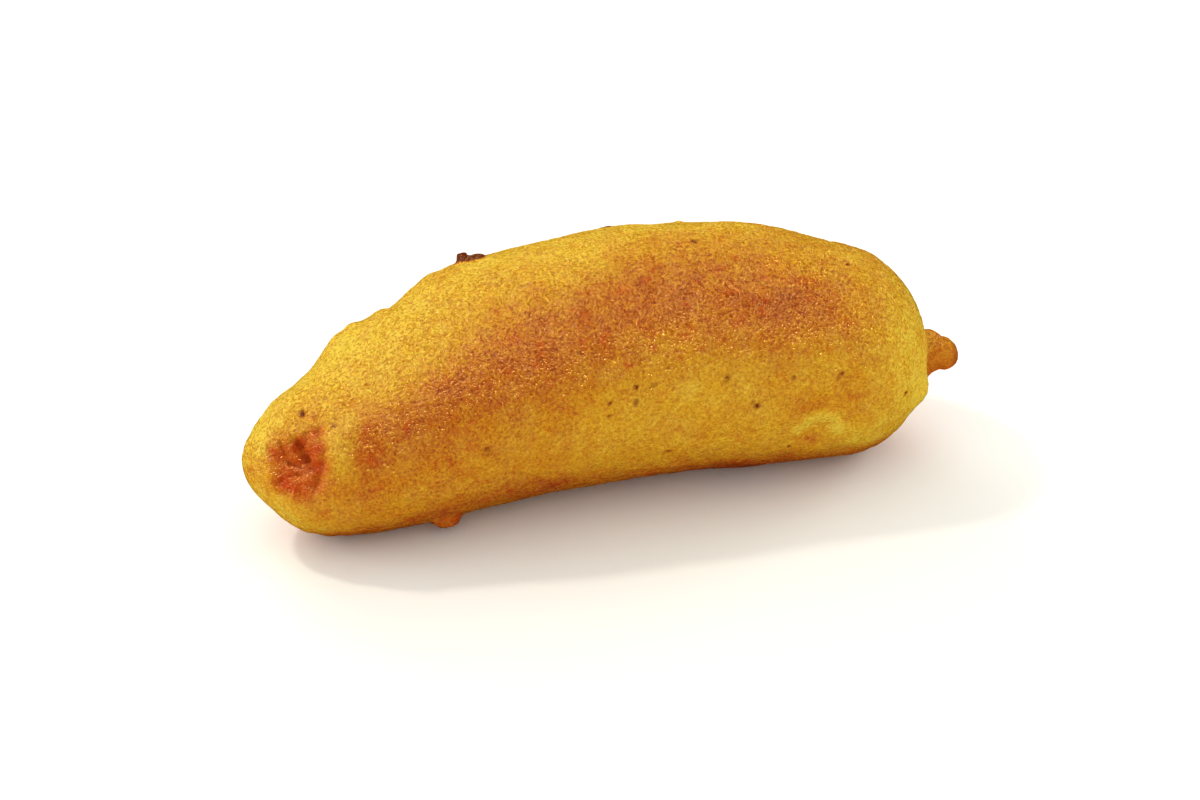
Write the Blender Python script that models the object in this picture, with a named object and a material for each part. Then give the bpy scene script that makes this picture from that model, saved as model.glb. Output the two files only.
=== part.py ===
"""A chilli pakora: one long chilli in a thick coat of gram flour batter, deep fried.

Metres, +Z up. It lies as on a table, with X from the narrow nose to the blunt stem end.
The inside of its bend faces -Y. The origin is on the table, below the middle of its box.
"""

import math

import bmesh
import bpy
from mathutils import Matrix, Vector, noise

MM = 0.001

# Driving sizes of the coated chilli, in millimetres
BODY_LENGTH = 129.0
NOSE_CAP = 9.0
STEM_CAP = 16.0
STEM_CAP_POWER = 2.2

# From nose to stem end: share of the length, half width, centre height, set back from the chord
SECTIONS = (
    (0.00, 7.5, 15.7, 0.5),
    (0.11, 15.0, 15.0, 1.5),
    (0.24, 19.3, 18.5, 5.5),
    (0.42, 22.3, 21.5, 10.0),
    (0.60, 23.1, 22.3, 11.2),
    (0.80, 21.9, 21.1, 8.5),
    (1.00, 18.0, 19.0, 3.0),
)

# How the skin is divided, and how much closer the rings stand at the two ends
RINGS = 72
SEGMENTS = 64
END_CROWDING = 0.35
PROFILE_STEPS = 600

# Waves all over the crust: wavelength and height in millimetres
WAVES = ((34.0, 0.75), (15.0, 0.38), (7.5, 0.20))
WAVE_SEED = Vector((3.7, 11.2, 5.9))

# Single swellings and hollows: share of the length, degrees round from the back over the top,
# reach and height in millimetres. A hollow has a height below zero.
SWELLINGS = (
    (0.030, 80.0, 9.0, 0.4),
    (0.182, 56.0, 7.0, 2.2),
    (0.262, 58.0, 3.6, -0.6),
    (0.330, 58.0, 10.0, 2.3),
    (0.430, 60.0, 8.0, 0.3),
    (0.880, 70.0, 10.0, -1.3),
    (0.985, 206.0, 2.8, 1.4),
    (0.815, 192.0, 3.4, -0.8),
    (0.820, 210.0, 3.0, 0.5),
    (0.050, 144.0, 5.6, -2.4),
    (0.103, 140.0, 3.4, 0.6),
    (0.110, 172.0, 3.6, 0.4),
    (0.140, 238.0, 10.0, -0.6),
    (0.500, 330.0, 11.0, -0.8),
    (0.300, 10.0, 8.0, 0.7),
    (0.720, 20.0, 9.0, -0.7),
)

# Tail of batter that set on the chilli's stem, from its root inside the body to its tip.
# Sections give the share of its run, top height, bottom height and half thickness.
TAIL_ROOT = Vector((60.0, 6.4, 0.0))
TAIL_TIP = Vector((71.9, 5.2, 0.0))
TAIL_SECTIONS = (
    (0.00, 21.4, 10.6, 3.4),
    (0.45, 21.3, 10.8, 3.2),
    (0.59, 21.0, 11.2, 2.8),
    (0.68, 20.0, 12.5, 2.5),
    (0.83, 19.0, 13.3, 2.2),
    (1.00, 17.6, 13.4, 1.8),
)
TAIL_LUMPS = 0.45
TAIL_RINGS = 16
TAIL_SEGMENTS = 20

# Crumbs and drips that fried on: share, degrees, outward offset, then size along, across and out
CRUMBS = (
    ("crumb_round", 0.362, 57.0, -0.1, (1.1, 1.0, 1.1)),
    ("crumb_thin", 0.381, 57.0, -0.1, (1.3, 0.8, 0.7)),
    ("drip_wide", 0.249, 232.0, -0.2, (2.7, 1.7, 1.9)),
    ("drip_low", 0.260, 237.0, 0.0, (1.7, 1.4, 1.6)),
)
CRUMB_ROUGHNESS = 0.35

CRUST_COLOUR = (0.72, 0.36, 0.05, 1.0)
CRUST_ROUGHNESS = 0.45


def clear_scene():
    for old in list(bpy.data.objects):
        bpy.data.objects.remove(old, do_unlink=True)


def smooth_through(stations, column, share):
    """Cubic through one column of the stations, whose slope at each follows its neighbours."""
    last = len(stations) - 1
    place = 0
    while place < last - 1 and share > stations[place + 1][0]:
        place += 1

    def slope(index):
        before, after = stations[max(index - 1, 0)], stations[min(index + 1, last)]
        return (after[column] - before[column]) / (after[0] - before[0])

    start, end = stations[place], stations[place + 1]
    span = end[0] - start[0]
    t = (share - start[0]) / span
    rise = 3 * t * t - 2 * t ** 3
    leave = (t - 2 * t * t + t ** 3) * span * slope(place)
    arrive = (t ** 3 - t * t) * span * slope(place + 1)
    return start[column] * (1 - rise) + end[column] * rise + leave + arrive


def half_width(share):
    """Half width of the body at a share of its length, closed by a round cap at each end."""
    along = share * BODY_LENGTH
    into_nose = max(0.0, 1 - along / NOSE_CAP)
    into_stem = max(0.0, 1 - (BODY_LENGTH - along) / STEM_CAP)
    caps = math.sqrt(max(0.0, 1 - into_nose ** 2)) * math.sqrt(max(0.0, 1 - into_stem ** STEM_CAP_POWER))
    return smooth_through(SECTIONS, 1, share) * caps


def ring_shares():
    """Shares of the length at which the rings stand, evenly spaced along the outline."""
    shares = [(1 - math.cos(math.pi * i / PROFILE_STEPS)) / 2 for i in range(PROFILE_STEPS + 1)]
    widths = [half_width(share) for share in shares]
    walked = [0.0]
    for i in range(PROFILE_STEPS):
        walked.append(walked[-1] + math.hypot((shares[i + 1] - shares[i]) * BODY_LENGTH, widths[i + 1] - widths[i]))
    found = []
    step = 0
    for ring in range(RINGS + 1):
        even = ring / RINGS
        crowded = even - END_CROWDING * math.sin(2 * math.pi * even) / (2 * math.pi)
        goal = crowded * walked[-1]
        while step < PROFILE_STEPS - 1 and walked[step + 1] < goal:
            step += 1
        part = (goal - walked[step]) / (walked[step + 1] - walked[step])
        found.append(shares[step] + part * (shares[step + 1] - shares[step]))
    return found


def centre_line(share):
    """Point of the chilli's bent centre line, in millimetres."""
    along = (share - 0.5) * BODY_LENGTH
    return Vector((along, smooth_through(SECTIONS, 3, share), smooth_through(SECTIONS, 2, share)))


def skin_point(share, degrees):
    """Point of the bare skin: 0 degrees is the back, 90 the top and 180 the front."""
    nudge = 0.002
    ahead = centre_line(min(share + nudge, 1.0)) - centre_line(max(share - nudge, 0.0))
    backwards = Vector((-ahead.y, ahead.x, 0.0)).normalized()
    turn = math.radians(degrees)
    width = half_width(share)
    return centre_line(share) + backwards * width * math.cos(turn) + Vector((0, 0, width * math.sin(turn)))


def skin_direction(share, degrees):
    """Outward direction at a point of the skin, level with its ring."""
    return (skin_point(share, degrees) - centre_line(share)).normalized()


def relief(point):
    """How far the crust stands out from the bare skin at a point, in millimetres."""
    height = 0.0
    for wavelength, amount in WAVES:
        height += amount * noise.noise(point / wavelength + WAVE_SEED)
    for share, degrees, reach, amount in SWELLINGS:
        away = (point - skin_point(share, degrees)).length
        height += amount * math.exp(-(away / reach) ** 2)
    return height


def face_outwards(bm):
    """Points every face away from the solid, after its vertices have moved."""
    bm.normal_update()
    bmesh.ops.recalc_face_normals(bm, faces=bm.faces)
    bm.normal_update()


def make_object(name, bm, collection):
    mesh = bpy.data.meshes.new(name)
    bm.to_mesh(mesh)
    bm.free()
    made = bpy.data.objects.new(name, mesh)
    collection.objects.link(made)
    return made


def make_body(collection):
    """The coated chilli: a sphere whose rings are laid along the bent centre line."""
    bm = bmesh.new()
    bmesh.ops.create_uvsphere(bm, u_segments=SEGMENTS, v_segments=RINGS, radius=1.0)
    shares = ring_shares()
    for vert in bm.verts:
        ring = round(math.acos(max(-1.0, min(1.0, -vert.co.z))) / math.pi * RINGS)
        degrees = math.degrees(math.atan2(vert.co.y, -vert.co.x))
        vert.co = skin_point(shares[ring], degrees)
    face_outwards(bm)
    moves = [(vert, vert.normal * relief(vert.co)) for vert in bm.verts]
    for vert, move in moves:
        vert.co += move
    bmesh.ops.scale(bm, vec=(MM, MM, MM), verts=bm.verts)
    return make_object("pakora", bm, collection)


def make_tail(collection):
    """The tail of batter on the stem: a small drooping lobe, taller than it is thick."""
    bm = bmesh.new()
    bmesh.ops.create_uvsphere(bm, u_segments=TAIL_SEGMENTS, v_segments=TAIL_RINGS, radius=1.0)
    run = TAIL_TIP - TAIL_ROOT
    sideways = Vector((-run.y, run.x, 0.0)).normalized()
    for vert in bm.verts:
        share = (vert.co.z + 1) / 2
        fullness = min(1.0, 1.3 * math.hypot(vert.co.x, vert.co.y))
        turn = math.atan2(vert.co.y, vert.co.x)
        top, bottom, thick = (smooth_through(TAIL_SECTIONS, column, share) for column in (1, 2, 3))
        middle, half_height = (top + bottom) / 2, (top - bottom) / 2
        place = TAIL_ROOT + run * share + sideways * thick * fullness * math.cos(turn)
        vert.co = place + Vector((0, 0, middle + half_height * fullness * math.sin(turn)))
    face_outwards(bm)
    for vert in bm.verts:
        vert.co += vert.normal * TAIL_LUMPS * noise.noise(vert.co / 2.6)
    bmesh.ops.scale(bm, vec=(MM, MM, MM), verts=bm.verts)
    return make_object("tail", bm, collection)


def make_crumb(name, share, degrees, offset, size, collection):
    """One rough lump of stray batter, sunk half into the crust."""
    out = skin_direction(share, degrees)
    bare = skin_point(share, degrees)
    centre = bare + out * (relief(bare) + offset)
    along = Vector((1, 0, 0)) - out * out.x
    along.normalize()
    across = out.cross(along)
    frame = Matrix((along, across, out)).transposed()
    bm = bmesh.new()
    bmesh.ops.create_icosphere(bm, subdivisions=2, radius=1.0)
    for vert in bm.verts:
        rough = 1 + CRUMB_ROUGHNESS * noise.noise(vert.co * 1.7 + Vector(size))
        local = Vector((vert.co.x * size[0], vert.co.y * size[1], vert.co.z * size[2])) * rough
        vert.co = centre + frame @ local
    face_outwards(bm)
    bmesh.ops.scale(bm, vec=(MM, MM, MM), verts=bm.verts)
    return make_object(name, bm, collection)


def apply_modifiers(made):
    """Bakes an object's modifiers into its mesh."""
    graph = bpy.context.evaluated_depsgraph_get()
    finished = bpy.data.meshes.new_from_object(made.evaluated_get(graph))
    made.modifiers.clear()
    made.data = finished


def fuse(body, extras):
    """Joins the tail, crumbs and drips to the body as one solid."""
    union = body.modifiers.new("fuse_batter", "BOOLEAN")
    union.operation = "UNION"
    union.solver = "EXACT"
    union.operand_type = "COLLECTION"
    union.collection = extras
    bpy.context.view_layer.update()
    apply_modifiers(body)
    for extra in list(extras.objects):
        bpy.data.objects.remove(extra, do_unlink=True)
    bpy.data.collections.remove(extras)


def stand_on_table(body):
    """Cuts the underside flat where it rests and centres the box over the origin."""
    bm = bmesh.new()
    bm.from_mesh(body.data)
    faces = bm.verts[:] + bm.edges[:] + bm.faces[:]
    cut = bmesh.ops.bisect_plane(
        bm, geom=faces, dist=1e-7, plane_co=(0, 0, 0), plane_no=(0, 0, 1), clear_inner=True
    )
    rim = [edge for edge in cut["geom_cut"] if isinstance(edge, bmesh.types.BMEdge)]
    bmesh.ops.holes_fill(bm, edges=rim, sides=0)
    face_outwards(bm)
    corners = [[vert.co[axis] for vert in bm.verts] for axis in range(2)]
    middle = [(min(values) + max(values)) / 2 for values in corners]
    bmesh.ops.translate(bm, vec=(-middle[0], -middle[1], 0.0), verts=bm.verts)
    bm.to_mesh(body.data)
    bm.free()


def fried_batter():
    material = bpy.data.materials.new("fried_gram_flour_batter")
    material.use_nodes = True
    shader = material.node_tree.nodes["Principled BSDF"]
    shader.inputs["Base Color"].default_value = CRUST_COLOUR
    shader.inputs["Roughness"].default_value = CRUST_ROUGHNESS
    shader.inputs["Metallic"].default_value = 0.0
    material.diffuse_color = CRUST_COLOUR
    return material


def main():
    clear_scene()
    scene_collection = bpy.context.scene.collection
    pakora_parts = bpy.data.collections.new("chilli_pakora")
    extras = bpy.data.collections.new("stray_batter")
    scene_collection.children.link(pakora_parts)
    scene_collection.children.link(extras)
    body = make_body(pakora_parts)
    make_tail(extras)
    for name, share, degrees, offset, size in CRUMBS:
        make_crumb(name, share, degrees, offset, size, extras)
    fuse(body, extras)
    stand_on_table(body)
    body.data.materials.clear()
    body.data.materials.append(fried_batter())
    body.data.shade_smooth()


main()
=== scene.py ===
"""A chilli pakora: one long chilli in a thick coat of gram flour batter, deep fried.

The crust is one piece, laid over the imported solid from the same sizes. Lengths are worked out in
millimetres along the chilli and turned to metres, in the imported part's own axes, at the end.
"""

import math

import bmesh
import bpy
import numpy as np
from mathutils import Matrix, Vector, noise
from mathutils.bvhtree import BVHTree


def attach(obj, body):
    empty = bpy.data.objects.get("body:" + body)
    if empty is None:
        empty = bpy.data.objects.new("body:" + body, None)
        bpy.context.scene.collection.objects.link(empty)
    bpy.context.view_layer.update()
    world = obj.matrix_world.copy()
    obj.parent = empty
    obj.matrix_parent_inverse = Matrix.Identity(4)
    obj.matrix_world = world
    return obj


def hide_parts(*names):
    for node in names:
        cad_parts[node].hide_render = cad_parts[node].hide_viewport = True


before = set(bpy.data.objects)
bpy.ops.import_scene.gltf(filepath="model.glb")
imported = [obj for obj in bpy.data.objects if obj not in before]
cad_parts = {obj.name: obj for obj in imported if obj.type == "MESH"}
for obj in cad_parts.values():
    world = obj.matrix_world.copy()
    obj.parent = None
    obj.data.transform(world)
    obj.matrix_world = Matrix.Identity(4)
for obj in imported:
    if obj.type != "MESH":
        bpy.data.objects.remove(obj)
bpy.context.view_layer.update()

MM = 0.001

# Sizes of the coated chilli, in millimetres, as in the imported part
BODY_LENGTH = 129.0
NOSE_CAP = 9.0
STEM_CAP = 16.0
STEM_CAP_POWER = 2.2

# From nose to stem end: share of the length, half width, centre height, set back from the chord
SECTIONS = (
    (0.00, 7.5, 15.7, 0.5),
    (0.11, 15.0, 15.0, 1.5),
    (0.24, 19.3, 18.5, 5.5),
    (0.42, 22.3, 21.5, 10.0),
    (0.60, 23.1, 22.3, 11.2),
    (0.80, 21.9, 21.1, 8.5),
    (1.00, 18.0, 19.0, 3.0),
)

# Middle of the part's box, seen from the middle of the chord between the chilli's two ends
BOX_MIDDLE = Vector((3.513, 10.222, 0.0))

# Shell of the body: its rings and the points round each, how much the rings crowd at the ends, and
# the steps in which the outline is walked
SHELL_RINGS = 260
SHELL_SEGMENTS = 220
END_CROWDING = 0.35
PROFILE_STEPS = 1200

# Step along the length that gives the centre line's heading, and the rounds that find a point's place
HEADING_NUDGE = 0.002
PLACE_ROUNDS = 6

# Waves all over the crust: wavelength and height in millimetres
WAVES = ((34.0, 0.75), (15.0, 0.38), (7.5, 0.20))
WAVE_SEED = Vector((3.7, 11.2, 5.9))

# Single swellings and hollows: share of the length, degrees round from the back over the top,
# reach and height in millimetres. A hollow has a height below zero.
SWELLINGS = (
    (0.030, 80.0, 9.0, 0.4),
    (0.182, 56.0, 7.0, 2.2),
    (0.262, 58.0, 3.6, -0.6),
    (0.330, 58.0, 10.0, 2.3),
    (0.430, 60.0, 8.0, 0.3),
    (0.880, 70.0, 10.0, -1.3),
    (0.985, 206.0, 2.8, 1.4),
    (0.815, 192.0, 3.4, -0.8),
    (0.820, 210.0, 3.0, 0.5),
    (0.050, 144.0, 5.6, -2.4),
    (0.103, 140.0, 3.4, 0.6),
    (0.110, 172.0, 3.6, 0.4),
    (0.140, 238.0, 10.0, -0.6),
    (0.500, 330.0, 11.0, -0.8),
    (0.300, 10.0, 8.0, 0.7),
    (0.720, 20.0, 9.0, -0.7),
)

# Tail of batter on the stem: share of its run, top height, bottom height and half thickness
TAIL_ROOT = Vector((60.0, 6.4, 0.0))
TAIL_TIP = Vector((71.9, 5.2, 0.0))
TAIL_SECTIONS = (
    (0.00, 21.4, 10.6, 3.4),
    (0.45, 21.3, 10.6, 3.2),
    (0.52, 21.3, 11.4, 3.0),
    (0.60, 20.9, 12.6, 2.8),
    (0.70, 20.1, 13.0, 2.6),
    (0.83, 19.6, 12.7, 2.5),
    (1.00, 18.6, 12.0, 2.2),
)

# Shell of the tail: its rings and the points round each, and how soon it swells from its two ends
TAIL_RINGS = 56
TAIL_SEGMENTS = 64
TAIL_FULLNESS = 1.3

# Lumps on the tail: height in millimetres, then sizes in millimetres with their share of the height
TAIL_LUMPS = 0.45
TAIL_LUMP_SIZES = ((2.6, 1.0), (1.3, 0.45))

# Crumbs and drips that fried on: share, degrees, outward offset, then size along, across and out
CRUMBS = (
    ("crumb_round", 0.360, 61.5, 0.4, (1.1, 1.0, 1.3)),
    ("crumb_thin", 0.374, 64.5, 0.3, (1.6, 0.9, 0.7)),
    ("drip_wide", 0.249, 232.0, -0.2, (2.7, 1.7, 1.9)),
    ("drip_low", 0.260, 237.0, 0.0, (1.7, 1.4, 1.6)),
)
CRUMB_SUBDIVISIONS = 4

# How uneven a crumb is: pitch of the noise on a ball of radius 1, and its share of the radius
CRUMB_ROUGHNESS = ((1.7, 0.35), (4.1, 0.175))

# How brown, red and burnt each kind of stray batter fried
STRAY_FRYING = {"tail": (0.32, 0.24, 0.0), "crumb": (0.95, 0.85, 0.74), "drip": (0.74, 0.45, 0.08)}

# The tail burnt at its tip, from this far before the tip to this far beyond, and its low side is red
TAIL_RIM = (3.0, 0.2)
TAIL_RIM_BURN = 0.42
TAIL_LOW_RED = 0.55

# Distances in millimetres from the body's shell over which a point turns into stray batter, and from
# a stray's own shell over which it stops being that stray's
STRAY_CLEAR = (0.15, 0.9)
STRAY_NEAR = (0.1, 0.5)

# The whole crust is drawn again at this grid, fine enough for pebbles over a millimetre across
CRUST_GRID = 0.50
CRUST_SMOOTHINGS = 1
SMOOTHING = 0.5

# Pebbles all over the crust: wavelength and height in millimetres, and how much of the height is round
# lumps and how much is ridges, which rise from a level of their own
PEBBLES = ((4.4, 0.20), (2.3, 0.18), (1.35, 0.16))
PEBBLE_LUMPS = 0.6
PEBBLE_RIDGES = 0.8
RIDGE_LEVEL = 0.25

# Single blisters and dents in the crust: share, degrees, reach and height
BLISTERS = (
    (0.165, 60.0, 1.7, 0.40),
    (0.193, 59.0, 1.5, 0.40),
    (0.212, 58.0, 1.2, -0.25),
    (0.236, 58.0, 2.0, 0.50),
    (0.256, 57.0, 1.4, -0.45),
    (0.276, 57.0, 2.0, 0.45),
    (0.312, 57.0, 1.8, 0.30),
    (0.100, 132.0, 2.2, 0.45),
    (0.106, 146.0, 2.4, 0.45),
    (0.124, 131.0, 2.0, 0.35),
    (0.034, 128.0, 1.8, 0.35),
    (0.026, 160.0, 2.0, 0.35),
    (0.050, 190.0, 2.0, 0.25),
    (0.016, 215.0, 1.8, 0.35),
    (0.815, 199.0, 2.6, -0.45),
    (0.797, 190.0, 2.2, 0.30),
    (0.832, 188.0, 2.2, 0.25),
    (0.660, 58.0, 0.7, 0.45),
)

# Folds in the puckered nose: points as share and degrees, then half width and depth
FOLDS = (
    (((0.0597, 121.5), (0.0645, 131.3), (0.0680, 145.0)), 0.70, 1.00),
    (((0.0306, 171.6), (0.0492, 161.0), (0.0649, 156.7), (0.0740, 152.8)), 0.45, 0.45),
    (((0.0880, 122.0), (0.0893, 135.7), (0.0880, 146.7), (0.0819, 156.0), (0.0711, 171.6)), 0.60, 0.50),
    (((0.0420, 118.0), (0.0460, 132.0), (0.0500, 145.0)), 0.55, 0.40),
    (((0.0759, 120.4), (0.0730, 128.0), (0.0700, 138.3), (0.0717, 149.8)), 0.50, 0.45),
    (((0.0240, 124.0), (0.0369, 133.0), (0.0524, 146.0), (0.0633, 151.0)), 0.50, 0.35),
    (((0.0560, 156.0), (0.0590, 168.0), (0.0560, 180.0)), 0.50, 0.35),
    (((0.0670, 150.0), (0.0740, 160.0), (0.0710, 172.0)), 1.80, 0.55),
)

# Painted shade in a red fold, laid on like scorching, and how much more for each millimetre of depth
FOLD_SHADE = 0.10
DEEP_FOLD_SHADE = 0.3

# Pits burst by steam: share, degrees, radius, depth and how burnt
PITS = (
    (0.0765, 104.2, 0.76, 0.70, 0.86),
    (0.1059, 125.3, 0.48, 0.40, 0.84),
    (0.1107, 119.4, 0.48, 0.25, 0.49),
    (0.5250, 163.3, 0.50, 0.35, 0.95),
    (0.5242, 169.7, 0.48, 0.20, 0.77),
    (0.5225, 172.0, 0.48, 0.15, 0.56),
    (0.4790, 168.3, 0.48, 0.15, 0.77),
    (0.4771, 174.4, 0.48, 0.15, 0.70),
    (0.5565, 163.9, 0.48, 0.15, 0.56),
    (0.5500, 164.4, 0.48, 0.10, 0.42),
    (0.5819, 157.4, 0.48, 0.10, 0.42),
    (0.5280, 147.8, 0.48, 0.10, 0.42),
    (0.6785, 163.2, 0.48, 0.20, 0.95),
    (0.6750, 165.6, 0.48, 0.10, 0.56),
    (0.7810, 164.5, 0.48, 0.10, 0.70),
    (0.8578, 163.1, 0.50, 0.15, 0.84),
    (0.8520, 165.6, 0.48, 0.10, 0.49),
    (0.7257, 178.4, 0.60, 0.25, 0.95),
    (0.7190, 176.0, 0.48, 0.10, 0.49),
    (0.7833, 207.2, 0.50, 0.20, 0.84),
    (0.2834, 174.2, 0.60, 0.20, 0.77),
    (0.2860, 177.6, 0.48, 0.10, 0.42),
    (0.6612, 92.5, 0.60, 0.20, 0.84),
    (0.8790, 100.7, 0.55, 0.20, 0.84),
    (0.5818, 200.6, 0.48, 0.15, 0.70),
    (0.9583, 183.1, 0.48, 0.20, 0.77),
    (0.4437, 143.0, 0.48, 0.15, 0.56),
    (0.1628, 157.0, 0.48, 0.10, 0.42),
    (0.5560, 62.0, 0.80, -0.20, 0.95),
    (0.5640, 62.0, 0.70, -0.20, 0.95),
    (0.3000, 20.0, 0.55, 0.30, 0.95),
    (0.6400, 350.0, 0.48, 0.30, 0.84),
    (0.7800, 30.0, 0.48, 0.20, 0.70),
    (0.4200, 8.0, 0.48, 0.20, 0.77),
)

# Ragged edge of the pits: how far it strays and the size of its noise in millimetres, and its seeds
PIT_RAGGED = 0.35
PIT_RAGGED_SIZE = 0.9
PIT_RAGGED_SEEDS = (0, 7, 13)

# Brown band along the upper front: share of the length, middle of the band in degrees round, degrees
# that it reaches towards the back and towards the front, and strength
BROWN_BAND = (
    (0.00, 140.0, 14.0, 60.0, 0.02),
    (0.08, 140.0, 12.0, 60.0, 0.16),
    (0.15, 138.0, 10.0, 46.0, 0.35),
    (0.25, 138.0, 15.0, 40.0, 0.40),
    (0.34, 134.0, 20.0, 34.0, 0.41),
    (0.42, 135.0, 22.0, 26.0, 0.41),
    (0.50, 130.0, 20.0, 23.0, 0.40),
    (0.58, 126.0, 25.0, 24.0, 0.41),
    (0.66, 126.0, 31.0, 24.0, 0.41),
    (0.73, 128.0, 27.0, 24.0, 0.42),
    (0.80, 131.0, 22.0, 20.0, 0.44),
    (0.86, 131.0, 17.0, 15.0, 0.27),
    (0.92, 132.0, 16.0, 12.0, 0.08),
    (1.00, 132.0, 14.0, 12.0, 0.00),
)

# Pale band along the top, in the same way
PALE_BAND = (
    (0.00, 66.0, 40.0, 40.0, 0.08),
    (0.10, 66.0, 30.0, 42.0, 0.33),
    (0.20, 68.0, 30.0, 42.0, 0.31),
    (0.30, 70.0, 30.0, 28.0, 0.25),
    (0.40, 70.0, 30.0, 24.0, 0.26),
    (0.50, 70.0, 30.0, 22.0, 0.25),
    (0.60, 70.0, 30.0, 18.0, 0.24),
    (0.70, 70.0, 30.0, 17.0, 0.21),
    (0.80, 72.0, 30.0, 18.0, 0.07),
    (1.00, 80.0, 30.0, 34.0, 0.06),
)

# Pale streaks: points as share and degrees, then half width and how much less brown
PALE_STREAKS = (
    (
        ((0.795, 194.0), (0.805, 191.5), (0.814, 187.2), (0.830, 185.3), (0.846, 188.0), (0.858, 196.0)),
        1.50,
        0.36,
    ),
)

# Patches that browned more or, below zero, less: share, degrees, reach along, reach round, strength
BROWNING = (
    (0.100, 186.0, 9.0, 6.0, 0.10),
    (0.240, 202.0, 9.0, 4.0, 0.06),
    (0.380, 202.0, 9.0, 4.0, 0.08),
    (0.722, 134.0, 6.0, 3.0, 0.06),
    (0.816, 181.0, 5.0, 3.0, 0.22),
    (0.870, 176.0, 3.5, 2.0, 0.14),
    (0.812, 204.0, 2.4, 1.5, 0.26),
    (0.760, 95.0, 6.0, 4.0, 0.05),
    (0.770, 195.0, 5.0, 2.8, -0.14),
    (0.980, 215.0, 4.0, 5.0, -0.20),
    (0.495, 150.0, 5.0, 3.0, 0.06),
    (0.480, 97.0, 5.0, 4.0, -0.20),
    (0.480, 217.0, 6.0, 4.0, -0.07),
    # Paler batter on the ridge right of the pucker, partly painted highlight where it faces the light
    (0.108, 136.0, 1.9, 4.2, -0.34),
    (0.085, 112.0, 5.0, 6.0, 0.16),
    (0.820, 157.0, 4.0, 3.0, -0.14),
    (0.520, 186.0, 5.0, 4.0, -0.08),
    # Two more paler patches on that ridge, partly painted highlight where it faces the light
    (0.104, 152.0, 1.6, 3.0, -0.20),
    (0.125, 127.0, 2.0, 3.0, -0.20),
    (0.600, 176.0, 12.0, 5.0, -0.09),
    (0.880, 203.0, 6.0, 4.0, -0.18),
    (0.940, 205.0, 7.0, 7.0, -0.14),
    (0.965, 150.0, 5.0, 13.0, -0.28),
    (0.665, 166.0, 8.0, 4.0, -0.12),
    (0.680, 195.0, 6.0, 4.0, -0.08),
    (0.050, 216.0, 6.0, 7.0, -0.21),
    (0.012, 212.0, 4.0, 6.0, -0.24),
    (0.015, 174.0, 3.5, 6.0, 0.20),
    (0.880, 90.0, 4.0, 4.0, -0.12),
    (0.720, 236.0, 7.0, 5.0, 0.34),
    (0.120, 126.0, 3.0, 3.0, 0.06),
    (0.220, 222.0, 5.0, 5.0, 0.08),
    (0.380, 60.0, 4.0, 4.0, 0.14),
    (0.030, 72.0, 5.0, 7.0, -0.16),
    (0.012, 114.0, 4.0, 6.0, -0.18),
    (0.030, 150.0, 6.0, 7.0, 0.05),
    (0.035, 112.0, 3.0, 4.0, -0.08),
    (0.180, 115.0, 5.0, 4.0, -0.06),
    (0.390, 104.0, 8.0, 5.0, -0.06),
    (0.710, 105.0, 6.0, 4.0, -0.06),
    (0.822, 195.0, 2.6, 2.4, -0.12),
    (0.300, 0.0, 22.0, 8.0, -0.12),
    (0.550, 356.0, 22.0, 8.0, -0.12),
    (0.800, 2.0, 20.0, 8.0, -0.12),
    (0.450, 32.0, 14.0, 6.0, 0.14),
    (0.750, 36.0, 14.0, 6.0, 0.16),
)
BROWNING_BASE = 0.37

# Half width in millimetres that a patch's reach round is measured on, at least, near the two ends
LEAST_GIRTH = 6.0

# Browner underside, a guess where the photo doesn't show it: share of the length, and where it starts
# and ends in degrees
UNDERSIDE = (
    (0.00, 244.0, 322.0),
    (0.07, 234.0, 324.0),
    (0.13, 212.0, 328.0),
    (0.30, 203.0, 330.0),
    (0.50, 212.0, 331.0),
    (0.65, 213.0, 330.0),
    (0.80, 216.0, 328.0),
    (0.93, 222.0, 324.0),
    (1.00, 225.0, 320.0),
)
UNDERSIDE_SOFT = 9.0
UNDERSIDE_BROWN = 0.34

# Where the crust is red, most of it in the star of the puckered nose: share, degrees, reach and
# strength
RED_PATCHES = (
    (0.054, 150.0, 4.7, 0.82),
    (0.064, 128.0, 1.8, 1.00),
    (0.067, 142.0, 1.8, 1.00),
    (0.042, 132.0, 3.2, 0.90),
    (0.079, 136.0, 1.8, 0.98),
    (0.080, 152.0, 2.0, 0.96),
    (0.084, 125.0, 1.6, 0.76),
    (0.034, 120.0, 2.4, 0.50),
    (0.058, 170.0, 3.2, 0.80),
    (0.072, 166.0, 2.2, 0.84),
    (0.040, 168.0, 2.6, 0.84),
    (0.150, 127.0, 2.6, 0.26),
    (0.128, 152.0, 2.0, 0.24),
)

# Edge of a red patch: shares of its reach between which it fades, how far the edge strays and the size
# of its noise in millimetres, and how much browner the patch is
PATCH_FADE = (0.10, 1.60)
PATCH_RAGGED = 0.7
PATCH_RAGGED_SIZE = 2.4
PATCH_BROWN = 0.20

# Wrinkles in the red patches: height and size in millimetres, level that they fall from and how deep
PATCH_WRINKLES = 0.35
WRINKLE_SIZE = 2.2
WRINKLE_LEVEL = 0.3
WRINKLE_DEPTH = 2

# Colour by how hard a spot fried, from pale batter to dark brown
FRYING = (
    (0.00, "F0CA3E"),
    (0.20, "E6AE28"),
    (0.40, "DC991F"),
    (0.60, "D2811B"),
    (0.80, "C36119"),
    (1.00, "A54316"),
)

# Colour of the red patches, and of burnt spots and the painted shade in the pucker's folds by where each
# starts and is full
RED_BATTER = "CA460C"
BURNT_AND_FOLD_SHADE = ((0.10, 0.60, "8A300C"), (0.55, 1.00, "34130B"))

# Small red spots, stronger where the crust is brown: size in millimetres, twist, the part of the noise
# that shows them and how red they are at most
CATCH_SIZE = 3.0
CATCH_TWIST = 0.3
CATCH_RANGE = (0.55, 0.72)
CATCH_MOST = 0.8

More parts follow.
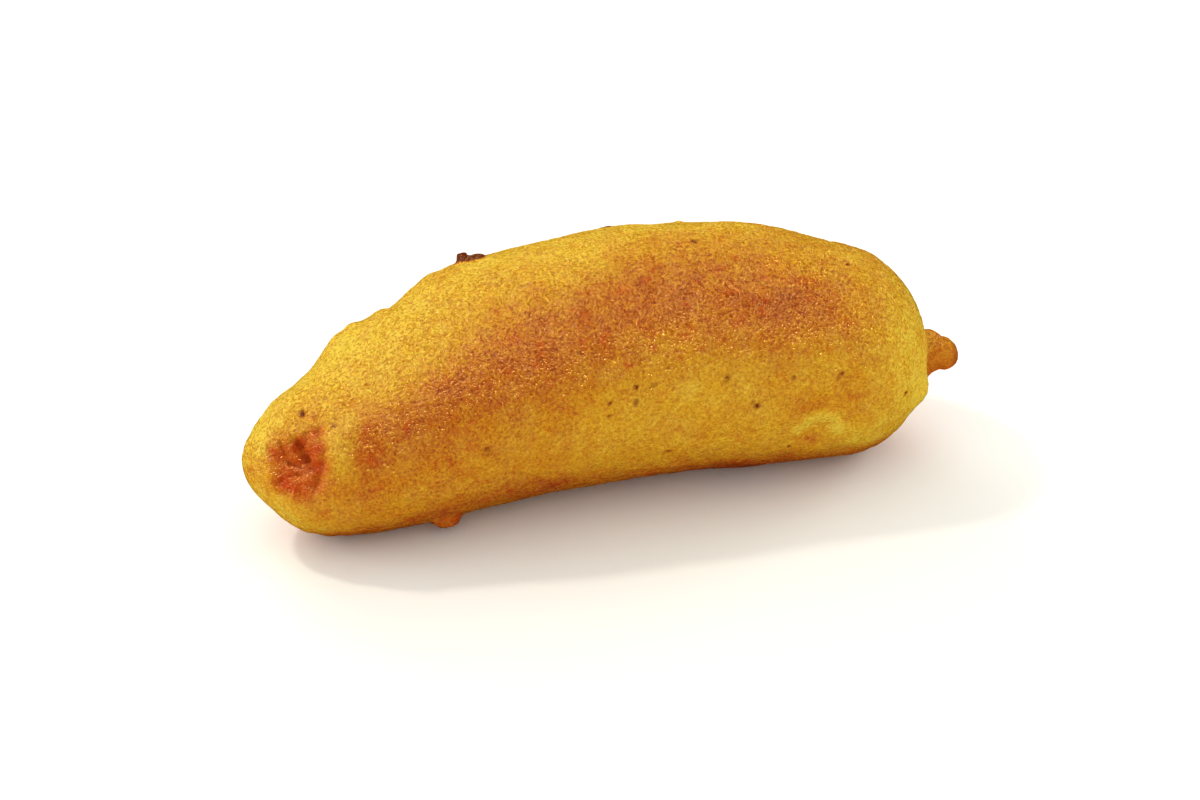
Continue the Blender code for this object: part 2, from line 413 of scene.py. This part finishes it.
# Blotches and mottle in the frying: size in millimetres, detail, twist and how much they brown
MOTTLES = ((11.0, 3.0, 0.0, 0.30), (3.8, 3.0, 0.3, 0.50), (1.5, 2.0, 0.3, 0.28))

# How strong the finer part of the batter's noises is
NOISE_ROUGHNESS = 0.6

# Grain of the crust: size of the grains and of the finer bubbles on them in millimetres and how high
# they stand. The valleys are made browner and the crests paler, partly as painted shade and painted
# highlight, and the colour is darkened in the valleys as painted shade and lightened on the peaks as
# painted highlight. The grain is rough on the top and calmer on the front, which also makes its painted
# shade and highlight stronger on the top. ROUGH_DEGREES holds the middle of the rough side and where it
# starts and ends to fade.
GRAIN_SIZE = 0.62
BUBBLE_SIZE = 0.34
BUBBLE_SHARE = 0.8
GRAIN_HEIGHT = 0.42
GRAIN_MIDDLE = 0.90
GRAIN_SWING = 0.35
GRAIN_CALM, GRAIN_ROUGH = 0.80, 1.35
ROUGH_DEGREES = (60.0, 20.0, 110.0)
VALLEY_BROWN_AND_SHADE = 0.25
PAINTED_VALLEY_SHADE, PAINTED_PEAK_HIGHLIGHT = 0.77, 1.10

# Creases where the batter gathered in the pucker: size in millimetres and height against the grain
CREASE_SIZE = 2.2
CREASE_HEIGHT = 3.0
CREASE_TWIST = 0.8

# Film of oil: roughness of the oily and of the dry patches, their size in millimetres, the part of the
# noise that they fall in, and the film's index, strength and tint
OILY = 0.15
DRY = 0.29
OIL_PATCH_SIZE = 5.0
OIL_RANGE = (0.35, 0.65)
OIL_IOR = 1.47
OIL_STRENGTH = 1.0
OIL_TINT = "FFE3AE"

# Light that soaks into the batter: how much, how deep in millimetres, and how deep each colour goes
SOAK = 0.12
SOAK_DEPTH = 1.2
SOAK_COLOURS = (1.0, 0.45, 0.12)

# White painted board under the food: half its width in metres, its two whites, the scale of the change
# between them, its roughness and its shine
FLOOR_HALF = 3.0
FLOOR_WHITES = ("F8F8F3", "FAFAF6")
FLOOR_SCALE = 3.0
FLOOR_ROUGHNESS = 0.9
FLOOR_SHINE = 0.1


def smooth_through(stations, column, share):
    """Cubic through one column of the stations, whose slope at each follows its neighbours."""
    places = np.array([station[0] for station in stations])
    values = np.array([station[column] for station in stations])
    share = np.asarray(share, dtype=float)
    step = np.clip(np.searchsorted(places, share, side="left") - 1, 0, len(places) - 2)
    before = np.maximum(np.arange(len(places)) - 1, 0)
    after = np.minimum(np.arange(len(places)) + 1, len(places) - 1)
    slope = (values[after] - values[before]) / (places[after] - places[before])
    span = places[step + 1] - places[step]
    t = (share - places[step]) / span
    rise = 3 * t**2 - 2 * t**3
    leave = (t - 2 * t**2 + t**3) * span * slope[step]
    arrive = (t**3 - t**2) * span * slope[step + 1]
    return values[step] * (1 - rise) + values[step + 1] * rise + leave + arrive


def half_width(share):
    """Half width of the body at a share of its length, closed by a round cap at each end."""
    along = share * BODY_LENGTH
    into_nose = np.clip(1 - along / NOSE_CAP, 0, 1)
    into_stem = np.clip(1 - (BODY_LENGTH - along) / STEM_CAP, 0, 1)
    caps = np.sqrt(1 - into_nose**2) * np.sqrt(1 - into_stem**STEM_CAP_POWER)
    return smooth_through(SECTIONS, 1, share) * caps


def ring_shares(rings):
    """Shares of the length at which the rings stand, evenly spaced along the outline."""
    shares = (1 - np.cos(np.linspace(0, math.pi, PROFILE_STEPS + 1))) / 2
    steps = np.hypot(np.diff(shares) * BODY_LENGTH, np.diff(half_width(shares)))
    walked = np.concatenate(([0.0], np.cumsum(steps)))
    even = np.linspace(0, 1, rings + 1)
    crowded = even - END_CROWDING * np.sin(2 * math.pi * even) / (2 * math.pi)
    return np.interp(crowded * walked[-1], walked, shares)


def centre_line(share):
    """Points of the chilli's bent centre line."""
    along = (share - 0.5) * BODY_LENGTH
    backwards, upwards = smooth_through(SECTIONS, 3, share), smooth_through(SECTIONS, 2, share)
    return np.stack([along, backwards, upwards], axis=-1)


def heading(share):
    """Level direction of the centre line, and the level direction at right angles, to the back."""
    beyond, before = np.minimum(share + HEADING_NUDGE, 1.0), np.maximum(share - HEADING_NUDGE, 0.0)
    ahead = centre_line(beyond) - centre_line(before)
    along = ahead[..., :2] / np.linalg.norm(ahead[..., :2], axis=-1, keepdims=True)
    return along, np.stack([-along[..., 1], along[..., 0]], axis=-1)


def skin_points(share, degrees):
    """Points of the bare skin: 0 degrees is the back, 90 the top and 180 the front."""
    share = np.asarray(share, dtype=float)
    turn = np.radians(degrees)
    backwards = heading(share)[1]
    width = half_width(share)
    points = centre_line(share)
    points[..., :2] += backwards * (width * np.cos(turn))[..., None]
    points[..., 2] += width * np.sin(turn)
    return points


def places_on_body(points):
    """Share of the length and degrees round, for points on or near the body."""
    share = np.clip(points[:, 0] / BODY_LENGTH + 0.5, 0, 1)
    for _ in range(PLACE_ROUNDS):
        along = heading(share)[0]
        miss = points - centre_line(share)
        share = np.clip(share + (miss[:, :2] * along).sum(axis=1) * along[:, 0] / BODY_LENGTH, 0, 1)
    backwards = heading(share)[1]
    miss = points - centre_line(share)
    across = (miss[:, :2] * backwards).sum(axis=1)
    return share, np.degrees(np.arctan2(miss[:, 2], across)) % 360


def noise_at(points, wavelength, seed=Vector((0, 0, 0))):
    return np.array([noise.noise(Vector(point) / wavelength + seed) for point in points])


def relief(points):
    """How far the crust stands out from points of the bare skin."""
    height = np.zeros(len(points))
    for wavelength, amount in WAVES:
        height += amount * noise_at(points, wavelength, WAVE_SEED)
    for share, degrees, reach, amount in SWELLINGS:
        away = np.linalg.norm(points - skin_points(share, degrees), axis=1)
        height += amount * np.exp(-((away / reach) ** 2))
    return height


def mesh_points(mesh):
    points = np.empty(len(mesh.vertices) * 3, dtype=np.float32)
    mesh.vertices.foreach_get("co", points)
    return points.reshape(-1, 3).astype(float)


def mesh_normals(mesh):
    normals = np.empty(len(mesh.vertices) * 3, dtype=np.float32)
    mesh.vertex_normals.foreach_get("vector", normals)
    return normals.reshape(-1, 3).astype(float)


def put_points(mesh, points):
    mesh.vertices.foreach_set("co", np.asarray(points, dtype=np.float32).ravel())
    mesh.update()


def face_outwards(bm):
    bm.normal_update()
    bmesh.ops.recalc_face_normals(bm, faces=bm.faces)
    bm.normal_update()


def mesh_of(name, bm):
    mesh = bpy.data.meshes.new(name)
    face_outwards(bm)
    bm.to_mesh(mesh)
    bm.free()
    return mesh


def body_shell():
    """The coated chilli: a sphere whose rings are laid along the bent centre line."""
    bm = bmesh.new()
    bmesh.ops.create_uvsphere(bm, u_segments=SHELL_SEGMENTS, v_segments=SHELL_RINGS, radius=1.0)
    ball = np.array([vert.co for vert in bm.verts])
    ring = np.rint(np.arccos(np.clip(-ball[:, 2], -1, 1)) / math.pi * SHELL_RINGS).astype(int)
    degrees = np.degrees(np.arctan2(ball[:, 1], -ball[:, 0]))
    bare = skin_points(ring_shares(SHELL_RINGS)[ring], degrees)
    for vert, place in zip(bm.verts, bare):
        vert.co = place
    mesh = mesh_of("body_shell", bm)
    put_points(mesh, bare + mesh_normals(mesh) * relief(bare)[:, None])
    return mesh


def tail_shell():
    """The tail of batter on the stem: a small drooping lobe, taller than it is thick."""
    bm = bmesh.new()
    bmesh.ops.create_uvsphere(bm, u_segments=TAIL_SEGMENTS, v_segments=TAIL_RINGS, radius=1.0)
    run = TAIL_TIP - TAIL_ROOT
    sideways = Vector((-run.y, run.x, 0.0)).normalized()
    for vert in bm.verts:
        share = (vert.co.z + 1) / 2
        fullness = min(1.0, TAIL_FULLNESS * math.hypot(vert.co.x, vert.co.y))
        turn = math.atan2(vert.co.y, vert.co.x)
        top, bottom, thick = (float(smooth_through(TAIL_SECTIONS, column, share)) for column in (1, 2, 3))
        middle, half_height = (top + bottom) / 2, (top - bottom) / 2
        place = TAIL_ROOT + run * share + sideways * thick * fullness * math.cos(turn)
        vert.co = place + Vector((0, 0, middle + half_height * fullness * math.sin(turn)))
    face_outwards(bm)
    for vert in bm.verts:
        lumps = sum(part * noise.noise(vert.co / size) for size, part in TAIL_LUMP_SIZES)
        vert.co += vert.normal * TAIL_LUMPS * lumps
    return mesh_of("tail_shell", bm)


def crumb_shell(name, share, degrees, offset, size):
    """One rough lump of stray batter, sunk half into the crust."""
    bare = Vector(skin_points(share, degrees))
    out = (bare - Vector(centre_line(np.asarray(share)))).normalized()
    centre = bare + out * (relief(np.array([bare]))[0] + offset)
    along = (Vector((1, 0, 0)) - out * out.x).normalized()
    across = out.cross(along)
    bm = bmesh.new()
    bmesh.ops.create_icosphere(bm, subdivisions=CRUMB_SUBDIVISIONS, radius=1.0)
    for vert in bm.verts:
        rough = 1.0
        for pitch, amount in CRUMB_ROUGHNESS:
            rough += amount * noise.noise(vert.co * pitch + Vector(size))
        local = Vector((vert.co.x * size[0], vert.co.y * size[1], vert.co.z * size[2])) * rough
        vert.co = centre + along * local.x + across * local.y + out * local.z
    return mesh_of(name, bm)


def fused(name, shells):
    """One skin round all the shells, drawn again at the crust's grid and smoothed a little."""
    bm = bmesh.new()
    for shell in shells:
        bm.from_mesh(shell)
    joined = bpy.data.objects.new(name, mesh_of(name, bm))
    bpy.context.scene.collection.objects.link(joined)
    skin = joined.modifiers.new("skin", "REMESH")
    skin.mode = "VOXEL"
    skin.voxel_size = CRUST_GRID
    bpy.context.view_layer.update()
    drawn = bpy.data.meshes.new_from_object(joined.evaluated_get(bpy.context.evaluated_depsgraph_get()))
    joined.modifiers.clear()
    bm = bmesh.new()
    bm.from_mesh(drawn)
    axes = {"use_axis_x": True, "use_axis_y": True, "use_axis_z": True}
    for _ in range(CRUST_SMOOTHINGS):
        bmesh.ops.smooth_vert(bm, verts=bm.verts, factor=SMOOTHING, **axes)
    joined.data = mesh_of(name, bm)
    return joined


def tree_of(mesh):
    bm = bmesh.new()
    bm.from_mesh(mesh)
    tree = BVHTree.FromBMesh(bm)
    bm.free()
    return tree


def distances(tree, points):
    return np.array([tree.find_nearest(Vector(point))[3] for point in points])


def distance_to_path(points, places):
    """Shortest distance from each point to straight steps between places of share and degrees."""
    path = skin_points([place[0] for place in places], [place[1] for place in places])
    nearest = np.full(len(points), np.inf)
    for start, end in zip(path[:-1], path[1:]):
        step = end - start
        part = np.clip((points - start) @ step / (step @ step), 0, 1)
        nearest = np.minimum(nearest, np.linalg.norm(points - start - part[:, None] * step, axis=1))
    return nearest


def turned(degrees, middle):
    """Degrees round from a middle, between -180 and 180."""
    return (degrees - middle + 180) % 360 - 180


def in_band(stations, share, degrees):
    """Strength of a band that runs along the chilli, fading towards the back and the front."""
    middle, backwards, forwards, strength = (smooth_through(stations, k, share) for k in (1, 2, 3, 4))
    turn = turned(degrees, middle)
    return np.maximum(strength, 0) * np.exp(-((turn / np.where(turn < 0, backwards, forwards)) ** 2))


def soft_step(values, start, end):
    part = np.clip((values - start) / (end - start), 0, 1)
    return part * part * (3 - 2 * part)


def near(points, share, degrees, reach):
    """1 at a place on the skin, falling to 0 beyond its reach."""
    away = np.linalg.norm(points - skin_points(share, degrees), axis=1)
    return np.exp(-((away / reach) ** 2))


def redness(bare):
    """How red the patches are, at points of the bare skin."""
    red = np.zeros(len(bare))
    ragged = PATCH_RAGGED * noise_at(bare, PATCH_RAGGED_SIZE, WAVE_SEED)
    start, end = PATCH_FADE
    for share, degrees, reach, strength in RED_PATCHES:
        away = np.linalg.norm(bare - skin_points(share, degrees), axis=1) + ragged
        red = np.maximum(red, strength * (1 - soft_step(away, start * reach, end * reach)))
    return red


def fine_relief(points, bare, on_body, red):
    """Height of the pebbles, blisters, folds, pits and wrinkles, how scorched the pits are, and the painted
    shade in the folds.
    """
    height = np.zeros(len(points))
    for size, amount in PEBBLES:
        waves = noise_at(points, size)
        height += amount * (PEBBLE_LUMPS * waves + PEBBLE_RIDGES * (RIDGE_LEVEL - np.abs(waves)))
    for share, degrees, reach, amount in BLISTERS:
        height += amount * near(bare, share, degrees, reach) * on_body
    folds = np.zeros(len(points))
    for path, half, depth in FOLDS:
        dip = np.exp(-((distance_to_path(bare, path) / half) ** 2)) * on_body
        height -= depth * dip
        # Painted shade: the folds are darkened in the red patches, more where they are deeper
        folds = np.maximum(folds, dip * (FOLD_SHADE + DEEP_FOLD_SHADE * depth))
    strays_off = [noise_at(bare, PIT_RAGGED_SIZE, Vector((seed, 0, 0))) for seed in PIT_RAGGED_SEEDS]
    uneven = bare + PIT_RAGGED * np.stack(strays_off, axis=1)
    scorch_and_fold_shade = np.zeros(len(points))
    for share, degrees, radius, depth, darkening in PITS:
        dip = near(uneven, share, degrees, radius) * on_body
        height -= depth * dip
        scorch_and_fold_shade = np.maximum(scorch_and_fold_shade, darkening * dip)
    wrinkles = np.abs(noise_at(bare, WRINKLE_SIZE, WAVE_SEED)) * WRINKLE_DEPTH
    height += PATCH_WRINKLES * red * (WRINKLE_LEVEL - wrinkles)
    return height, np.maximum(scorch_and_fold_shade, folds * red)


def browning(bare, share, degrees, red):
    """How brown the body fried: the two bands, the single patches, the underside and the pale streaks."""
    brown = BROWNING_BASE + in_band(BROWN_BAND, share, degrees) - in_band(PALE_BAND, share, degrees)
    girth = np.maximum(half_width(share), LEAST_GIRTH)
    for patch_share, patch_degrees, along, around, amount in BROWNING:
        run = (share - patch_share) * BODY_LENGTH / along
        turn = np.radians(turned(degrees, patch_degrees)) * girth / around
        brown += amount * np.exp(-(run**2) - turn**2)
    start, end = (smooth_through(UNDERSIDE, column, share) for column in (1, 2))
    under = soft_step(degrees, start - UNDERSIDE_SOFT, start + UNDERSIDE_SOFT)
    under *= 1 - soft_step(degrees, end - UNDERSIDE_SOFT, end + UNDERSIDE_SOFT)
    brown += UNDERSIDE_BROWN * under
    for path, half, amount in PALE_STREAKS:
        brown -= amount * np.exp(-((distance_to_path(bare, path) / half) ** 2))
    return brown + PATCH_BROWN * red


def fry_strays(points, on_stray, brown, red, scorch_and_fold_shade):
    """The same three values with those of the tail, the crumbs and the drips in their places."""
    for name, part in on_stray.items():
        stray_brown, stray_red, stray_burn = STRAY_FRYING[name.split("_")[0]]
        brown = brown * (1 - part) + stray_brown * part
        red = red * (1 - part) + stray_red * part
        scorch_and_fold_shade = np.maximum(scorch_and_fold_shade, stray_burn * part)
    before, beyond = TAIL_RIM
    rim = soft_step(points[:, 0], TAIL_TIP.x - before, TAIL_TIP.x + beyond) * on_stray["tail"]
    low = (1 - soft_step(points[:, 2], TAIL_SECTIONS[0][2], TAIL_SECTIONS[0][1])) * on_stray["tail"]
    return brown, red + TAIL_LOW_RED * low, np.maximum(scorch_and_fold_shade, TAIL_RIM_BURN * rim)


def make_crust():
    """The whole fried crust with its tail, crumbs and drips, its relief and its browning."""
    body = body_shell()
    strays = {"tail": tail_shell()}
    for name, share, degrees, offset, size in CRUMBS:
        strays[name] = crumb_shell(name, share, degrees, offset, size)
    crust = fused("crust", [body] + list(strays.values()))
    mesh = crust.data
    points = mesh_points(mesh)
    share, degrees = places_on_body(points)
    bare = skin_points(share, degrees)
    on_body = 1 - soft_step(distances(tree_of(body), points), *STRAY_CLEAR)
    on_stray = {}
    for name, shell in strays.items():
        on_stray[name] = 1 - soft_step(distances(tree_of(shell), points), *STRAY_NEAR)

    red = redness(bare)
    height, scorch_and_fold_shade = fine_relief(points, bare, on_body, red)
    points += mesh_normals(mesh) * height[:, None]
    brown = browning(bare, share, degrees, red)
    brown, red, scorch_and_fold_shade = fry_strays(points, on_stray, brown, red, scorch_and_fold_shade)
    middle, start, end = ROUGH_DEGREES
    rough = 1 - soft_step(np.abs(turned(degrees, middle)), start, end)

    points -= np.array(BOX_MIDDLE)
    points[:, 2] = np.maximum(points[:, 2], 0.0)
    put_points(mesh, points * MM)
    # The third value holds the scorching and the painted shade of the folds
    state = mesh.color_attributes.new("fry_state_and_fold_shade", "FLOAT_COLOR", "POINT")
    values = np.stack([brown, red, scorch_and_fold_shade, rough], axis=1)
    state.data.foreach_set("color", np.clip(values, 0, 1).astype(np.float32).ravel())
    mesh.shade_smooth()
    mesh.materials.append(fried_batter())
    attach(crust, "root")
    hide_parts("pakora")


def linear(hex_colour):
    """sRGB hex to the linear RGBA that the shaders take."""
    channels = [int(hex_colour[i : i + 2], 16) / 255 for i in (0, 2, 4)]
    return [c / 12.92 if c <= 0.04045 else ((c + 0.055) / 1.055) ** 2.4 for c in channels] + [1.0]


def add(tree, kind, inputs=None, **settings):
    """Adds a node, with its settings, values and links."""
    node = tree.nodes.new(kind)
    for name, value in settings.items():
        setattr(node, name, value)
    for socket, value in (inputs or {}).items():
        if isinstance(value, bpy.types.NodeSocket):
            tree.links.new(value, node.inputs[socket])
        else:
            node.inputs[socket].default_value = value
    return node


def fill_ramp(node, stops):
    ramp = node.color_ramp
    while len(ramp.elements) < len(stops):
        ramp.elements.new(0.5)
    for element, (place, colour) in zip(ramp.elements, stops):
        element.position = place
        element.color = linear(colour)


def empty_material(name):
    material = bpy.data.materials.new(name)
    material.use_nodes = True
    tree = material.node_tree
    tree.nodes.clear()
    return material, tree


def speckles(tree, place, size, detail, roughness=NOISE_ROUGHNESS, twist=0.0):
    """Noise from 0 to 1, in blotches of a size in millimetres."""
    values = {"Vector": place, "Scale": 1 / MM / size, "Detail": detail}
    values.update({"Roughness": roughness, "Distortion": twist})
    return add(tree, "ShaderNodeTexNoise", values).outputs["Fac"]


def reckon(tree, operation, *values, **settings):
    """One step of arithmetic."""
    return add(tree, "ShaderNodeMath", dict(enumerate(values)), operation=operation, **settings).outputs[0]


def spread(tree, value, old, new=(0.0, 1.0)):
    """A value carried from one range over to another, and held within it."""
    ends = {"From Min": old[0], "From Max": old[1], "To Min": new[0], "To Max": new[1]}
    return add(tree, "ShaderNodeMapRange", {"Value": value, **ends}).outputs["Result"]


def mixed(tree, share, first, second):
    """The first colour with a share of the second."""
    values = {"Factor": share, 6: first, 7: second}
    return add(tree, "ShaderNodeMix", values, data_type="RGBA").outputs[2]


def fried_batter():
    """Gram flour batter, deep fried: golden to brown by how hard it fried, wrinkled, with a film of oil."""
    material, tree = empty_material("fried_gram_flour_batter")
    place = add(tree, "ShaderNodeTexCoord").outputs["Object"]
    state = add(tree, "ShaderNodeAttribute", attribute_name="fry_state_and_fold_shade", attribute_type="GEOMETRY")
    level = add(tree, "ShaderNodeSeparateColor", {"Color": state.outputs["Color"]})
    brown, red, scorch_and_fold_shade = (level.outputs[name] for name in ("Red", "Green", "Blue"))

    # Rounded grains with finer bubbles on them, and creases where the batter gathered in the pucker
    grains = speckles(tree, place, GRAIN_SIZE, detail=1.0)
    bubbles = speckles(tree, place, BUBBLE_SIZE, detail=1.0, roughness=0.5)
    surface = reckon(tree, "MULTIPLY_ADD", bubbles, BUBBLE_SHARE, grains)
    surface = reckon(tree, "SUBTRACT", surface, GRAIN_MIDDLE)
    rough = spread(tree, state.outputs["Alpha"], (0.0, 1.0), (GRAIN_CALM, GRAIN_ROUGH))
    surface = reckon(tree, "MULTIPLY", surface, rough)
    folding = speckles(tree, place, CREASE_SIZE, detail=2.0, roughness=0.5, twist=CREASE_TWIST)
    folding = reckon(tree, "ABSOLUTE", reckon(tree, "SUBTRACT", folding, 0.5))
    gathered = reckon(tree, "MULTIPLY", red, CREASE_HEIGHT)
    height = reckon(tree, "MULTIPLY_ADD", folding, gathered, surface)
    relief_values = {"Strength": 1.0, "Distance": GRAIN_HEIGHT * MM, "Height": height}
    bump = add(tree, "ShaderNodeBump", relief_values)

    # How hard each spot fried: the browning laid on the mesh, broken up by blotches and mottle
    fried = brown
    for size, detail, twist, amount in MOTTLES:
        mottle = reckon(tree, "SUBTRACT", speckles(tree, place, size, detail, twist=twist), 0.5)
        fried = reckon(tree, "MULTIPLY_ADD", mottle, amount, fried)
    # The valleys are made browner and the crests paler, partly as painted shade and painted highlight
    grain_ends = (-GRAIN_SWING, GRAIN_SWING)
    valley_brown_and_shade = spread(tree, surface, grain_ends, (VALLEY_BROWN_AND_SHADE, -VALLEY_BROWN_AND_SHADE))
    fried = reckon(tree, "ADD", fried, valley_brown_and_shade)
    crust_colour = add(tree, "ShaderNodeValToRGB", {"Fac": fried})
    fill_ramp(crust_colour, FRYING)

    # Redder in the patches, most of all in the puckered nose, and in small spots of the brown crust
    catch = speckles(tree, place, CATCH_SIZE, detail=3.0, twist=CATCH_TWIST)
    catch = reckon(tree, "MULTIPLY", spread(tree, catch, CATCH_RANGE, (0.0, CATCH_MOST)), fried)
    reddened = reckon(tree, "ADD", catch, red, use_clamp=True)
    colour = mixed(tree, reddened, crust_colour.outputs["Color"], linear(RED_BATTER))

    # Burnt spots, red brown at the rim and nearly black in the middle, and painted shade in the folds of
    # the pucker in the same colours
    for start, end, darkening in BURNT_AND_FOLD_SHADE:
        colour = mixed(tree, spread(tree, scorch_and_fold_shade, (start, end)), colour, linear(darkening))

    # Painted shade and highlight: the colour is darkened in the valleys between the grains and lightened on
    # their peaks
    shade = spread(tree, surface, grain_ends, (PAINTED_VALLEY_SHADE, PAINTED_PEAK_HIGHLIGHT))
    painted_shaded_colour = add(tree, "ShaderNodeVectorMath", {0: colour, "Scale": shade}, operation="SCALE")

    oil = spread(tree, speckles(tree, place, OIL_PATCH_SIZE, detail=3.0), OIL_RANGE, (OILY, DRY))
    shader = add(
        tree,
        "ShaderNodeBsdfPrincipled",
        {
            "Base Color": painted_shaded_colour.outputs[0],
            "Roughness": oil,
            "Normal": bump.outputs["Normal"],
            "IOR": OIL_IOR,
            "Specular IOR Level": OIL_STRENGTH,
            "Specular Tint": linear(OIL_TINT),
            "Subsurface Weight": SOAK,
            "Subsurface Radius": SOAK_COLOURS,
            "Subsurface Scale": SOAK_DEPTH * MM,
        },
    )
    add(tree, "ShaderNodeOutputMaterial", {"Surface": shader.outputs["BSDF"]})
    return material


def studio_floor():
    """Matt white painted board: a plain pale floor."""
    material, tree = empty_material("white_painted_board")
    place = add(tree, "ShaderNodeTexCoord").outputs["Object"]
    shade = add(tree, "ShaderNodeTexNoise", {"Vector": place, "Scale": FLOOR_SCALE, "Detail": 2.0})
    colour = mixed(tree, shade.outputs["Fac"], *(linear(white) for white in FLOOR_WHITES))
    values = {"Base Color": colour, "Roughness": FLOOR_ROUGHNESS, "Specular IOR Level": FLOOR_SHINE}
    shader = add(tree, "ShaderNodeBsdfPrincipled", values)
    add(tree, "ShaderNodeOutputMaterial", {"Surface": shader.outputs["BSDF"]})
    bm = bmesh.new()
    bmesh.ops.create_grid(bm, x_segments=1, y_segments=1, size=FLOOR_HALF)
    floor = bpy.data.objects.new("floor", mesh_of("floor", bm))
    bpy.context.scene.collection.objects.link(floor)
    if floor.data.polygons[0].normal.z < 0:
        floor.data.flip_normals()
    floor.data.materials.append(material)
    floor.visible_glossy = False


# Lamps, aimed at the object: place, width of the disk in metres, watts, colour, whether they light what
# is matt and whether they show in the oil
LAMPS = (
    ("softbox_back", (-0.20, 0.98, 0.42), 0.70, 4.2, "FFFFFF", True, False),
    ("fill_left", (-0.97, 0.32, 0.26), 0.60, 2.7, "FFFFFF", True, True),
    ("fill_right", (0.95, 0.42, 0.24), 0.60, 4.5, "FFFFFF", True, False),
    ("small_lamp_back_left", (-0.46, 0.36, 0.74), 0.08, 2.0, "FFF6E6", True, True),
    ("small_lamp_above", (0.12, 0.02, 0.94), 0.12, 10.0, "FFE3A8", False, True),
)
LAMP_AIM = Vector((0.0, 0.0, 0.02))
ROOM_LIGHT = 0.95
ROOM_COLOUR = "FFFEFA"


def studio_light():
    """Soft white room light with softboxes behind and at both sides, and small lamps seen in the oil."""
    world = bpy.data.worlds.new("white_studio")
    world.use_nodes = True
    background = world.node_tree.nodes["Background"]
    background.inputs["Color"].default_value = linear(ROOM_COLOUR)
    background.inputs["Strength"].default_value = ROOM_LIGHT
    bpy.context.scene.world = world
    world.cycles_visibility.glossy = False
    for name, place, width, power, colour, on_matt, in_oil in LAMPS:
        light = bpy.data.lights.new(name, "AREA")
        light.shape = "DISK"
        light.size = width
        light.energy = power
        light.color = linear(colour)[:3]
        lamp = bpy.data.objects.new(name, light)
        lamp.location = place
        lamp.rotation_euler = (Vector(place) - LAMP_AIM).to_track_quat("Z", "Y").to_euler()
        lamp.visible_diffuse, lamp.visible_glossy = on_matt, in_oil
        bpy.context.scene.collection.objects.link(lamp)
    bpy.context.scene.view_settings.view_transform = "Standard"


# Viewpoint of the photograph: turned a little to the nose, looking down. Angles are in degrees, the
# distance and the range that it draws in metres, and the rest in millimetres.
CAMERA_AZIMUTH = -15.0
CAMERA_ELEVATION = 32.0
CAMERA_DISTANCE = 0.520
CAMERA_TARGET = Vector((1.5, 4.0, 17.5))
CAMERA_LENS = 85.0
CAMERA_SENSOR = 36.0
CAMERA_RANGE = (0.01, 20.0)


def photo_camera():
    camera = bpy.data.cameras.new("photo_camera")
    camera.lens = CAMERA_LENS
    camera.sensor_width = CAMERA_SENSOR
    camera.clip_start, camera.clip_end = CAMERA_RANGE
    azimuth, elevation = math.radians(CAMERA_AZIMUTH), math.radians(CAMERA_ELEVATION)
    level = math.cos(elevation)
    back = Vector((math.sin(azimuth) * level, -math.cos(azimuth) * level, math.sin(elevation)))
    made = bpy.data.objects.new("photo_camera", camera)
    made.location = (CAMERA_TARGET - BOX_MIDDLE) * MM + back * CAMERA_DISTANCE
    made.rotation_euler = back.to_track_quat("Z", "Y").to_euler()
    bpy.context.scene.collection.objects.link(made)
    bpy.context.scene.camera = made


make_crust()
studio_floor()
studio_light()
photo_camera()
